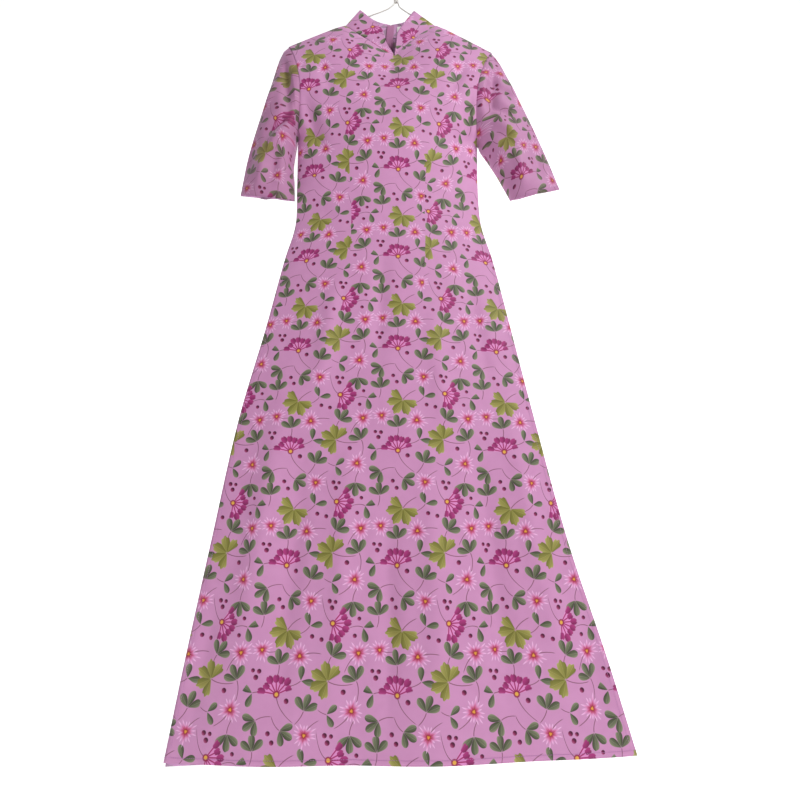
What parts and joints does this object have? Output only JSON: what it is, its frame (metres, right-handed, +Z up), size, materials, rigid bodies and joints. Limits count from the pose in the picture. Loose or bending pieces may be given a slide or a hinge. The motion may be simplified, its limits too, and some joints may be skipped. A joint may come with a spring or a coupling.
{
  "type": "ao dai tunic on a wire hanger",
  "caption": "Pink-lilac floral ao dai tunic with a stand collar, elbow sleeves and side slits, hung on a white coated wire hanger.",
  "frame": {"origin": "inside top of the hanger's hook, where it hangs on a rail", "axes": "+Z up, the garment's front faces -Y, +X is on the right of a viewer who faces the front"},
  "size_m": [0.6557, 0.1336, 1.4694],
  "materials": {
    "cloth": "matt",
    "tape": "matt",
    "zip_metal": "satin",
    "label": "matt",
    "coating": "satin"
  },
  "bodies": {
    "garment": {"front_bodice": "cloth", "front_hip": "cloth", "front_skirt": "cloth", "back_left_bodice": "cloth", "back_left_hip": "cloth", "back_left_skirt": "cloth", "back_right_bodice": "cloth", "back_right_hip": "cloth", "back_right_skirt": "cloth", "sleeve_left": "cloth", "sleeve_right": "cloth", "collar_left": "cloth", "collar_right": "cloth", "zip_tape": "tape", "zip_slider": "zip_metal", "size_label": "label", "wire_hanger": "coating"},
    "pull_tab": {"zip_pull_tab": "zip_metal"}
  },
  "joints": [
    {"name": "pull_tab_swing", "type": "hinge", "parent": "garment", "child": "pull_tab", "pos_m": [-0.01155, 0.02478, -0.1212], "axis": [1, 0, 0], "range_deg": [0, 165]}
  ]
}
